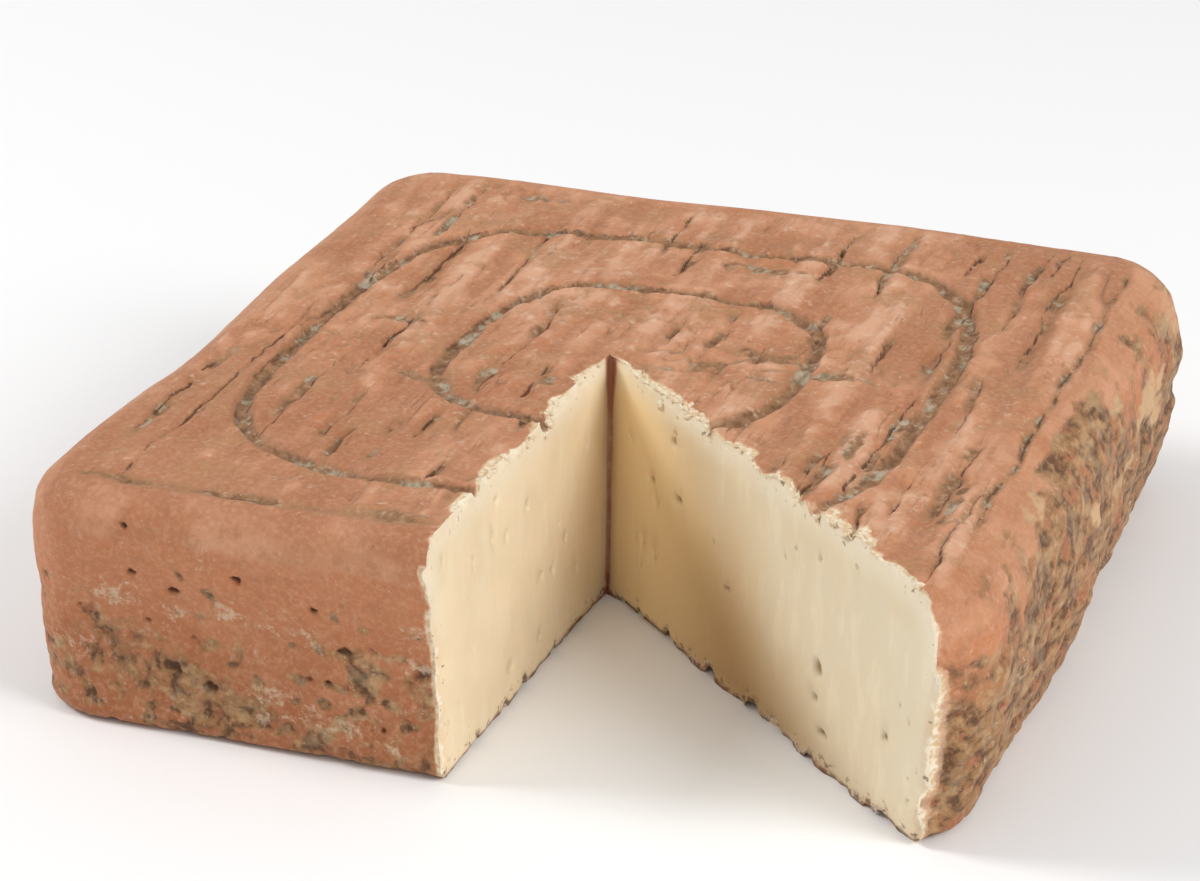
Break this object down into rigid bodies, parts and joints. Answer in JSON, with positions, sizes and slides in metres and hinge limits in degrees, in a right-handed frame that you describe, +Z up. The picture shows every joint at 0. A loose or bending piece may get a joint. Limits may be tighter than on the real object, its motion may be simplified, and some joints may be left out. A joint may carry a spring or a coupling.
{
  "type": "taleggio cheese",
  "caption": "Square block of washed-rind soft cheese with a pressed and grooved pink rind and a triangular portion cut out of its front right, showing the pale paste.",
  "frame": {"origin": "centre of the bounding box at its underside, on the surface that the cheese rests on", "axes": "+Z up; -Y is the front, the side that the cut portion opens on, left of the missing corner; +X to the right seen from the front"},
  "size_m": [0.2014, 0.1914, 0.0552],
  "materials": {
    "rind": "dull, slightly tacky washed rind, terracotta pink, with grey-green and white mould in the grooves"
  },
  "bodies": {
    "root": {"cheese": "rind"}
  },
  "joints": []
}
